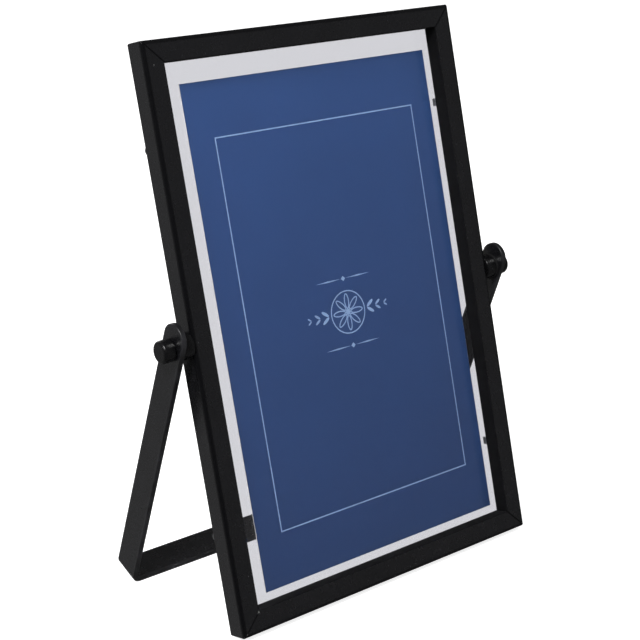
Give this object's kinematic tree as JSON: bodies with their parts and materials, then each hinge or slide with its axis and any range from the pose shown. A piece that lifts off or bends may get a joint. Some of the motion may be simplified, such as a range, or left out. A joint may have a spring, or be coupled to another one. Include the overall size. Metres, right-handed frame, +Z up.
{
  "type": "easel back photo frame",
  "caption": "Slim black metal frame with a print floated between two glass panes, pivoted at mid-height in a U-shaped easel stand.",
  "frame": {"origin": "on the table, under the middle of the whole object's bounding box", "axes": "+X to the object's right seen from the front, +Y from its glass face to its back, +Z up"},
  "size_m": [0.1486, 0.066, 0.1858],
  "materials": {
    "satin_black_steel": "satin black powder coat",
    "plain_steel": "zinc-plated",
    "clear_glass": "clear, ground edges",
    "printed_card": "smooth dark blue print with a thin pale border line",
    "moulded_key": "moulded black nylon",
    "nylon_washer": "black nylon",
    "brass_insert": "turned"
  },
  "bodies": {
    "frame": {"left_rail": "satin_black_steel", "top_rail": "satin_black_steel", "right_rail": "satin_black_steel", "bottom_rail": "satin_black_steel", "corner_key_top_left": "moulded_key", "corner_key_top_right": "moulded_key", "corner_key_bottom_right": "moulded_key", "corner_key_bottom_left": "moulded_key", "front_glass": "clear_glass", "print_card": "printed_card", "back_glass": "clear_glass", "button_rivets": "plain_steel", "threaded_insert_left": "brass_insert", "spacer_left": "satin_black_steel", "friction_washer_left": "nylon_washer", "threaded_insert_right": "brass_insert", "spacer_right": "satin_black_steel", "friction_washer_right": "nylon_washer"},
    "stand": {"easel_stand": "satin_black_steel"},
    "thumb_screw_left": {"thumb_screw_left": "satin_black_steel"},
    "thumb_screw_right": {"thumb_screw_right": "satin_black_steel"},
    "turn_button_left_upper": {"turn_button_left_upper": "plain_steel"},
    "turn_button_left_lower": {"turn_button_left_lower": "plain_steel"},
    "turn_button_right_upper": {"turn_button_right_upper": "plain_steel"},
    "turn_button_right_lower": {"turn_button_right_lower": "plain_steel"},
    "turn_button_top": {"turn_button_top": "plain_steel"},
    "turn_button_bottom": {"turn_button_bottom": "plain_steel"}
  },
  "joints": [
    {"name": "stand_swing", "type": "hinge", "parent": "frame", "child": "stand", "pos_m": [0, -0.00633, 0.094], "axis": [1, 0, 0], "continuous": true},
    {"name": "thumb_screw_left_turn", "type": "hinge", "parent": "frame", "child": "thumb_screw_left", "pos_m": [-0.0635, -0.00633, 0.094], "axis": [-1, 0, 0], "range_deg": [0, 360]},
    {"name": "thumb_screw_right_turn", "type": "hinge", "parent": "frame", "child": "thumb_screw_right", "pos_m": [0.0635, -0.00633, 0.094], "axis": [1, 0, 0], "range_deg": [0, 360]},
    {"name": "turn_button_left_upper_turn", "type": "hinge", "parent": "frame", "child": "turn_button_left_upper", "pos_m": [-0.06155, 0.0137, 0.15194], "axis": [0, 0.9686, -0.2486], "range_deg": [-90, 90]},
    {"name": "turn_button_left_lower_turn", "type": "hinge", "parent": "frame", "child": "turn_button_left_lower", "pos_m": [-0.06155, -0.01712, 0.03183], "axis": [0, 0.9686, -0.2486], "range_deg": [-90, 90]},
    {"name": "turn_button_right_upper_turn", "type": "hinge", "parent": "frame", "child": "turn_button_right_upper", "pos_m": [0.06155, 0.0137, 0.15194], "axis": [0, 0.9686, -0.2486], "range_deg": [-90, 90]},
    {"name": "turn_button_right_lower_turn", "type": "hinge", "parent": "frame", "child": "turn_button_right_lower", "pos_m": [0.06155, -0.01712, 0.03183], "axis": [0, 0.9686, -0.2486], "range_deg": [-90, 90]},
    {"name": "turn_button_top_turn", "type": "hinge", "parent": "frame", "child": "turn_button_top", "pos_m": [0, 0.02142, 0.18202], "axis": [0, 0.9686, -0.2486], "range_deg": [-90, 90]},
    {"name": "turn_button_bottom_turn", "type": "hinge", "parent": "frame", "child": "turn_button_bottom", "pos_m": [0, -0.02484, 0.00176], "axis": [0, 0.9686, -0.2486], "range_deg": [-90, 90]}
  ]
}
